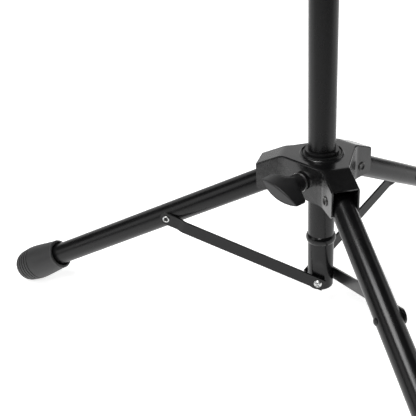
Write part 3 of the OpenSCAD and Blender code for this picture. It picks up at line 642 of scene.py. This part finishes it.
press_radius = 20 * MM
plan = []
for k in sorted(LEGS, key=lambda k: HEADING[k] % (2 * pi)):
    for x, y, radius in ((core_x, -arm_half, press_radius), (arm_end, -arm_half, 0),
                         (arm_end, arm_half, 0), (core_x, arm_half, press_radius)):
        corner = turn("Z", HEADING[k]) @ Vector((x, y, 0))
        plan.append((corner.x, corner.y, radius))
outline = softened(plan, 8)
square_corner = 0.1                  # the cosine between two edges is less than this
inward = []
for i, point in enumerate(outline):
    before = (point - outline[i - 1]).normalized()
    after = (outline[(i + 1) % len(outline)] - point).normalized()
    tangent = (before + after).normalized()
    reach = 1 / max(tangent.dot(before), 0.5)
    if abs(before.dot(after)) < square_corner:
        arm = max(LEGS, key=lambda k: on_arm(k, point.to_3d()).x)
        side = on_arm(arm, point.to_3d()).y
        tangent = (turn("Z", HEADING[arm]) @ Vector((1 if side < 0 else -1, 0, 0))).xy
        reach = 1.0
    inward.append(Vector((-tangent.y, tangent.x)) * reach)
print("hub plan has", len(outline), "points")

# %% Hub walls and roof, flat at first
press_edge = 1.7 * MM
SKIRT = -1                           # marks the lower edge until the walls get their length
bm = bmesh.new()
rings = [[bm.verts.new((point.x, point.y, SKIRT)) for point in outline]]
for step in range(6):
    angle = pi / 2 * step / 5
    inset, drop = press_edge * (1 - cos(angle)), press_edge * (1 - sin(angle))
    rings.append([bm.verts.new((point.x + side.x * inset, point.y + side.y * inset, -drop))
                  for point, side in zip(outline, inward)])
count = len(outline)
at_end = [along_arms(point.to_3d()) > arm_end - 0.1 * MM for point in outline]
open_end = [at_end[i] and at_end[(i + 1) % count] for i in range(count)]
for low_ring, high_ring in zip(rings, rings[1:]):
    for i in range(count):
        if not open_end[i]:
            j = (i + 1) % count
            bm.faces.new((low_ring[i], low_ring[j], high_ring[j], high_ring[i]))
bm.faces.new(rings[-1])
print("hub sheet:", len(bm.faces), "faces before the bends,", sum(open_end), "open ends")

# %% Bending the roofs down
ON_PLANE = 0.001 * MM
bend_half = 3 * MM
for k in LEGS:
    out = turn("Z", HEADING[k]) @ Vector((1, 0, 0))
    for step in range(7):
        cut = bend_x - bend_half + 2 * bend_half * step / 6
        bmesh.ops.bisect_plane(bm, geom=bm.verts[:] + bm.edges[:] + bm.faces[:], dist=ON_PLANE,
                               plane_co=out * cut, plane_no=out)
for vertex in bm.verts:
    past = along_arms(vertex.co) - bend_x
    if vertex.co.z < SKIRT / 2:
        vertex.co.z = hub_low.z
    elif past > bend_half:
        vertex.co.z += plate_z - past * roof_slope
    else:
        vertex.co.z += plate_z - roof_slope * max(past + bend_half, 0.0) ** 2 / (4 * bend_half)
print("hub sheet:", len(bm.faces), "faces after the bends")

# %% Raising the neck from the middle of the plate
centre_face = min(bm.faces, key=lambda face: face.calc_center_median().xy.length)
around = list(centre_face.edges)
bmesh.ops.delete(bm, geom=[centre_face], context="FACES_ONLY")
flare = 2.2 * MM
circle = bmesh.ops.create_circle(bm, segments=96, radius=neck_outer + flare)["verts"]
for vertex in circle:
    vertex.co.z = plate_z
loop = list({edge for vertex in circle for edge in vertex.link_edges})
bmesh.ops.triangle_fill(bm, edges=around + loop, use_beauty=True, normal=(0, 0, 1))
bm.faces.ensure_lookup_table()

neck_rise, neck_edge = hub_high.z - plate_z, 0.5 * MM
flare_height = 0.8                   # the flare is a little lower than it is wide
ring = loop
profile = [(neck_outer + flare * (1 - sin(a)), flare * (1 - cos(a)) * flare_height)
           for a in [radians(18 * i) for i in range(1, 6)]]
profile += [(neck_outer, neck_rise - neck_edge),
            (neck_outer - 0.4 * neck_edge, neck_rise - 0.2 * neck_edge),
            (neck_outer - neck_edge, neck_rise)]
for radius, height in profile:
    grown = bmesh.ops.extrude_edge_only(bm, edges=ring)["geom"]
    ring = [item for item in grown if isinstance(item, bmesh.types.BMEdge)]
    for vertex in {vertex for edge in ring for vertex in edge.verts}:
        vertex.co.xy = vertex.co.xy.normalized() * radius
        vertex.co.z = plate_z + height
print("neck rises", round(neck_rise / MM, 2))

# %% Clipping the lower corners of the arms, and giving the sheet its thickness
corner_cut = 2 * MM
for k in LEGS:
    out = turn("Z", HEADING[k])
    bmesh.ops.bisect_plane(bm, geom=bm.verts[:] + bm.edges[:] + bm.faces[:], dist=ON_PLANE,
                           plane_co=out @ Vector((arm_end - corner_cut, 0, hub_low.z)),
                           plane_no=out @ Vector((1, 0, -1)), clear_outer=True)
bmesh.ops.recalc_face_normals(bm, faces=bm.faces)
highest = max(bm.faces, key=lambda face: face.calc_area() * abs(face.normal.z))
if highest.normal.z < 0:
    bmesh.ops.reverse_faces(bm, faces=bm.faces)
hub_sheet = 1.6 * MM
hub_pressing = place_piece("hub_pressing", bm, Matrix(), ["hub_spider"], hub_enamel,
                           edge=0.35 * MM, wall=hub_sheet)
print("hub pressing:", len(hub_pressing.data.polygons), "faces on one side of the sheet")

# %% [markdown]
# ## Legs and feet
# A leg is a plain tube with broken edges. Its rubber foot is spun from an outline: a blunt toe that
# swells to a belly, fine grooves round the toe, and a long taper to a lip with a shallow recess
# round the tube.

# %% Legs
for k in LEGS:
    low, high = local_box(f"leg_{k}", at_leg(k))
    radius, wall, soft = high.y, 1.2 * MM, 0.4 * MM
    outline = softened([(radius - wall, low.x, soft), (radius, low.x, soft), (radius, high.x, soft),
                        (radius - wall, high.x, soft)])
    place_piece(f"leg_{k}_tube", spun(outline, 96), at_leg(k) @ turn("Y", pi / 2), [f"leg_{k}"],
                tube_coat, sharp=50)
print("leg radius", round(radius / MM, 2), "from", round(low.x / MM, 1),
      "to", round(high.x / MM, 1))

# %% Feet
for k in LEGS:
    low, high = local_box(f"foot_{k}", at_leg(k))
    foot_points = seen_from(f"foot_{k}", at_leg(k))
    tip, length, belly = high.x, high.x - low.x, high.y
    mouth = max(hypot(p.y, p.z) for p in foot_points if p.x < low.x + 2 * MM)
    tube_r = local_box(f"leg_{k}", at_leg(k))[1].y
    toe_r, toe_round, belly_at = tube_r - 7.4 * MM, 13 * MM, 23 * MM
    recess, floor_at = 5 * MM, 6 * MM
    lean = atan2(belly - toe_r - toe_round, belly_at - toe_round)

    def foot_radius(s):
        """Radius of the foot at a distance s from its tip."""
        toe_end = toe_round * (1 - sin(lean))
        if s < toe_end:
            return toe_r + sqrt(toe_round**2 - (toe_round - s) ** 2)
        shoulder = toe_r + toe_round * cos(lean)
        cone = shoulder + (belly - shoulder) * (s - toe_end) / (belly_at - toe_end)
        taper = belly - (belly - mouth + 0.6 * MM) * (s - belly_at) / (length - belly_at)
        blend = 1.2 * MM
        return (cone + taper - sqrt((cone - taper) ** 2 + blend**2)) / 2 + 0.2 * MM

    groove_width, groove_deep, groove_clear = 1.1 * MM, 0.8 * MM, 0.9 * MM
    grooves = [8 * MM + 3.6 * MM * i for i in range(5)]
    outline = [(0, 0), (toe_r, 0)]
    marks = [toe_round * (1 - cos(pi / 2 * i / 12)) for i in range(1, 13)]
    marks += [toe_round + (length - 2 * MM - toe_round) * i / 34 for i in range(1, 35)]
    marks = [s for s in marks
             if all(abs(s - groove - groove_width / 2) > groove_clear for groove in grooves)]
    for groove in grooves:
        marks += [groove - 0.1 * MM, groove + 0.15 * MM, groove + 0.95 * MM, groove + 1.2 * MM]
    for s in sorted(marks):
        cut = groove_deep if any(groove < s < groove + groove_width for groove in grooves) else 0
        outline.append((foot_radius(s) - cut, s))
    outline += [(mouth - 0.1 * MM, length - 1.6 * MM), (mouth, length - 0.9 * MM),
                (mouth - 0.3 * MM, length - 0.25 * MM), (mouth - 0.9 * MM, length)]
    on_tube = tube_r + 0.03 * MM
    outline += [(tube_r + 2.1 * MM, length), (tube_r + 1.9 * MM, length - 0.4 * MM),
                (tube_r + 1.7 * MM, length - recess), (on_tube, length - recess),
                (on_tube, floor_at), (0, floor_at)]
    place = at_leg(k) @ move(tip, 0, 0) @ turn("Y", -pi / 2)
    place_piece(f"foot_{k}_boot", spun(outline, 96), place, [f"foot_{k}"], foot_rubber, sharp=50)
print("foot", round(length / MM, 1), "long, belly", round(belly / MM, 2),
      "mouth", round(mouth / MM, 2))

# %% [markdown]
# ## Braces
# A brace is a flat bar with a square end at the screw, a round end at the rivet and one soft step
# that carries it from the plane of the shaft's flat to the side of the leg. The bar is a loft of
# short sections, so the step bends without a crease, and all its edges are slightly rounded.

# %% Braces
for k in LEGS:
    node = f"brace_{k}"
    bar_points = seen_from(node, at_brace(k))
    low, high = local_box(node, at_brace(k))
    half_w = high.z
    screw_end = [p.y for p in bar_points if p.x < 20 * MM]
    bar_y, thick = min(screw_end), max(screw_end) - min(screw_end)
    tab_y = min(p.y for p in bar_points if p.x > BRACE_LENGTH)
    step_end = min(p.x for p in bar_points
                   if abs(p.y - tab_y) < NEAR and abs(abs(p.z) - half_w) < NEAR)
    step_start = max(p.x for p in bar_points if abs(p.y - bar_y) < NEAR and p.x < step_end)
    step_long, spread = step_end - step_start, 2 * MM
    stations = [(low.x, half_w), (low.x + 4 * MM, half_w), (step_start - 12 * MM, half_w)]
    stations += [(step_start - spread + (step_long + 2 * spread) * i / 14, half_w)
                 for i in range(15)]
    round_end = [radians(6 * i) for i in range(15)]
    stations += [(BRACE_LENGTH + half_w * sin(a), half_w * cos(a)) for a in round_end]
    bm = bmesh.new()
    last = None
    for x, half in stations:
        y = bar_y + (tab_y - bar_y) * smoothstep((x - step_start + MM) / (step_long + 2 * MM))
        section = [bm.verts.new((x, y + side, z)) for side, z in
                   ((0, -half), (thick, -half), (thick, half), (0, half))]
        if last:
            for i in range(4):
                bm.faces.new((last[i], last[(i + 1) % 4], section[(i + 1) % 4], section[i]))
        else:
            bm.faces.new(section)
        last = section
    bm.faces.new(last)
    place_piece(f"brace_{k}_bar", bm, at_brace(k), [node], strip_enamel, edge=0.3 * MM)
print("brace", round(BRACE_LENGTH / MM, 1), "long, step from", round(step_start / MM, 1), "to",
      round(step_end / MM, 1))

# %% [markdown]
# ## Rivet ends
# The pin between a leg and its brace is a tube, and its bright end is rolled over the bar. It is
# spun from an outline with a round rim, because the rim and the dark bore are all that shows.

# %% Rivet ends on the braces: a tube rolled over the bar
for k in LEGS:
    low, high = local_box(f"brace_eyelet_{k}", at_brace(k))
    radius, bore = high.z - 0.2 * MM, 2.1 * MM
    shank, rim_z = radius - 0.6 * MM, high.y - 0.9 * MM
    outline = softened([(bore, low.y, 0), (shank, low.y, 0), (shank, rim_z, 0),
                        (radius, rim_z, 0.2 * MM), (radius - 0.2 * MM, high.y, 0.7 * MM),
                        (bore, high.y, 0.6 * MM)])
    place = at_brace(k) @ move(BRACE_LENGTH, 0, 0) @ turn("X", -pi / 2)
    place_piece(f"brace_eyelet_{k}_ring", spun(outline, 48), place, [f"brace_eyelet_{k}"], zinc,
                sharp=60)
print("rivet end radius", round(radius / MM, 2), "bore", round(bore / MM, 2))

# %% [markdown]
# ## Wing knobs
# A wing knob starts as a round boss. Above the boss the section grows into a lens that is longer
# every millimetre until the wings have their full span, and the face is a shallow crown with a fine
# moulding line round it. Each ring of the loft goes from an ellipse towards a lens.


# %% A section of the knob
LENS_SHARE = 0.82                    # the rest is an ellipse, which rounds the tips


def section_reach(angle, span, thick, pointed=1.0):
    """Distance to the edge of a knob section, in the direction angle from +X. The section is an
    ellipse at pointed 0 and a lens with round tips at pointed 1."""
    halvings = 30
    near, far = 0.0, 1.2 * max(span, thick)
    for _ in range(halvings):
        reach = (near + far) / 2
        y = min(abs(reach * sin(angle)) / span, 1.0)
        arch = sqrt(1 - y * y)
        lens = LENS_SHARE * (1 - y * y) + (1 - LENS_SHARE) * arch
        inside = y < 1 and abs(reach * cos(angle)) < thick * (arch + (lens - arch) * pointed)
        near, far = (reach, far) if inside else (near, reach)
    return near


# %% One wing knob, foot on z = 0 and wings along Y
MOULDING_LINE = ((0.06, 0.25), (0.25, 0.05), (0.5, 0.0), (0.9, 0.0), (1.0, 0.3), (1.4, 0.3),
                 (1.5, 0.0))         # inside the edge of the face and below its crown, in mm


def wing_knob(span, thick, height, boss):
    """span and thick are half sizes of the wings at the face, boss the radius of the foot."""
    bm = bmesh.new()
    count, crown, back, edge = 128, 90 * MM, 0.3 * height, 0.6 * MM
    slant = tan(radians(27))
    full = back + (span - boss) * slant
    angles = [atan2(1.9 * sin(2 * pi * i / count), cos(2 * pi * i / count)) for i in range(count)]

    def top_z(reach):
        return height - crown + sqrt(crown**2 - reach**2)

    rings = []
    foot = ((0, boss - 0.5 * MM), (0.15 * MM, boss - 0.15 * MM), (edge, boss), (0.9 * back, boss))
    for z, radius in foot:
        rings.append([Vector((radius * cos(a), radius * sin(a), z)) for a in angles])
    face = [section_reach(a, span, thick) for a in angles]
    for step in range(11):
        z = back + (full - back) * step / 10
        share = (z - back) / (height - back)
        wide, deep = boss + (z - back) / slant, boss + (thick - boss) * share
        reach = [section_reach(a, wide, deep, share * share) for a in angles]
        rings.append([Vector((r * cos(a), r * sin(a), z)) for a, r in zip(angles, reach)])
    for rise in (0.15, 0.4, 0.65, 0.9, 1.0):
        share = (full + (height - edge - full) * rise - back) / (height - back)
        deep = boss + (thick - boss) * share
        reach = [section_reach(a, span, deep, share * share) for a in angles]
        rings.append([Vector((r * cos(a), r * sin(a), full + (top_z(f) - edge - full) * rise))
                      for a, r, f in zip(angles, reach, face)])
    for inset, drop in MOULDING_LINE:
        shrink_x, shrink_y = 1 - inset * MM / thick, 1 - inset * MM / span
        ring = []
        for a, r in zip(angles, face):
            point = Vector((r * cos(a) * shrink_x, r * sin(a) * shrink_y, 0))
            point.z = top_z(point.length) - drop * MM
            ring.append(point)
        rings.append(ring)
    rings += [[Vector((p.x * share, p.y * share, top_z(p.xy.length * share))) for p in ring]
              for share in (0.66, 0.33)]
    made = [[bm.verts.new(point) for point in ring] for ring in rings]
    for low_ring, high_ring in zip(made, made[1:]):
        for i in range(count):
            j = (i + 1) % count
            bm.faces.new((low_ring[i], low_ring[j], high_ring[j], high_ring[i]))
    bm.faces.new(made[0])
    bm.faces.new(made[-1])
    return bm


# %% The three knobs
for node, joint in (("hub_knob", "hub_knob_turn"), ("height_knob", "height_knob_turn"),
                    ("tilt_knob", "tilt_knob_turn")):
    facing = Vector(JOINTS[joint]["axis"]).to_track_quat("Z", "Y").to_matrix().to_4x4()
    base = Matrix.Translation(JOINTS[joint]["pos_m"]) @ facing
    points = seen_from(node, base)
    if abs(min(p.z for p in points)) > abs(max(p.z for p in points)):
        base = base @ turn("X", pi)
        points = seen_from(node, base)
    tip = max(points, key=lambda p: hypot(p.x, p.y))
    base = base @ move(0, 0, min(p.z for p in points)) @ turn("Z", atan2(tip.y, tip.x) - pi / 2)
    points = seen_from(node, base)
    high = max(p.z for p in points)
    foot = max(hypot(p.x, p.y) for p in points if p.z < 0.1 * high)
    thick = max(abs(p.x) for p in points if p.z > 0.8 * high)
    span = max(abs(p.y) for p in points)
    place_piece(f"{node}_grip", wing_knob(span, thick, high, foot), base, [node], knob_plastic,
                sharp=45)
print("knob span", round(2 * span / MM, 1), "thick", round(2 * thick / MM, 1),
      "high", round(high / MM, 1))

# %% [markdown]
# ## The last step: finishes and rounded edges for the carried-over nodes
# The CAD nodes that keep their own shape get a finish. The larger and more visible ones also get
# softly rounded edges, because a real edge always catches a little light.

# %% Finishes for CAD nodes
LOOKS = {
    tube_coat: ["upper_tube"],
    collar_plastic: ["lock_collar", "tilt_head"],
    strip_enamel: ["desk_bracket"],
    desk_enamel: ["desk_plate", "paper_shelf"],
    nylon: ["hub_bush", "guide_bush", "tube_guide", "brace_spacers"],
    zinc: ["brace_screws", "hub_knob_washer", "height_knob_washer", "tilt_knob_washer",
           "hub_knob_screw", "height_knob_screw", "tilt_bolt"],
    black_oxide: ["leg_hinge_rivets", "brace_rivet_a", "brace_rivet_b", "brace_rivet_c",
                  "shelf_rivets", "bracket_rivets", "brace_anchor", "hub_nut"],
    brass: ["collar_insert", "tilt_nut"],
    pad_nylon: ["hub_pad", "collar_pad"],
    fibre: ["friction_washers"],
}
for material, names in LOOKS.items():
    for name in names:
        mesh = NODES[name].data
        mesh.materials.clear()
        mesh.materials.append(material)
print("CAD nodes with a finish:", sum(len(names) for names in LOOKS.values()))

# %% Rounded edges for CAD nodes
ROUNDED = {
    "lock_collar": 0.6 * MM, "tilt_head": 0.8 * MM, "desk_bracket": 0.35 * MM,
    "hub_bush": 0.3 * MM, "desk_plate": 0.35 * MM, "paper_shelf": 0.35 * MM,
    "guide_bush": 0.25 * MM, "hub_knob_washer": 0.4 * MM, "height_knob_washer": 0.4 * MM,
    "tilt_knob_washer": 0.4 * MM,
}
for name, width in ROUNDED.items():
    soften_edges(NODES[name], width, 2)
print("CAD nodes with rounded edges:", len(ROUNDED))
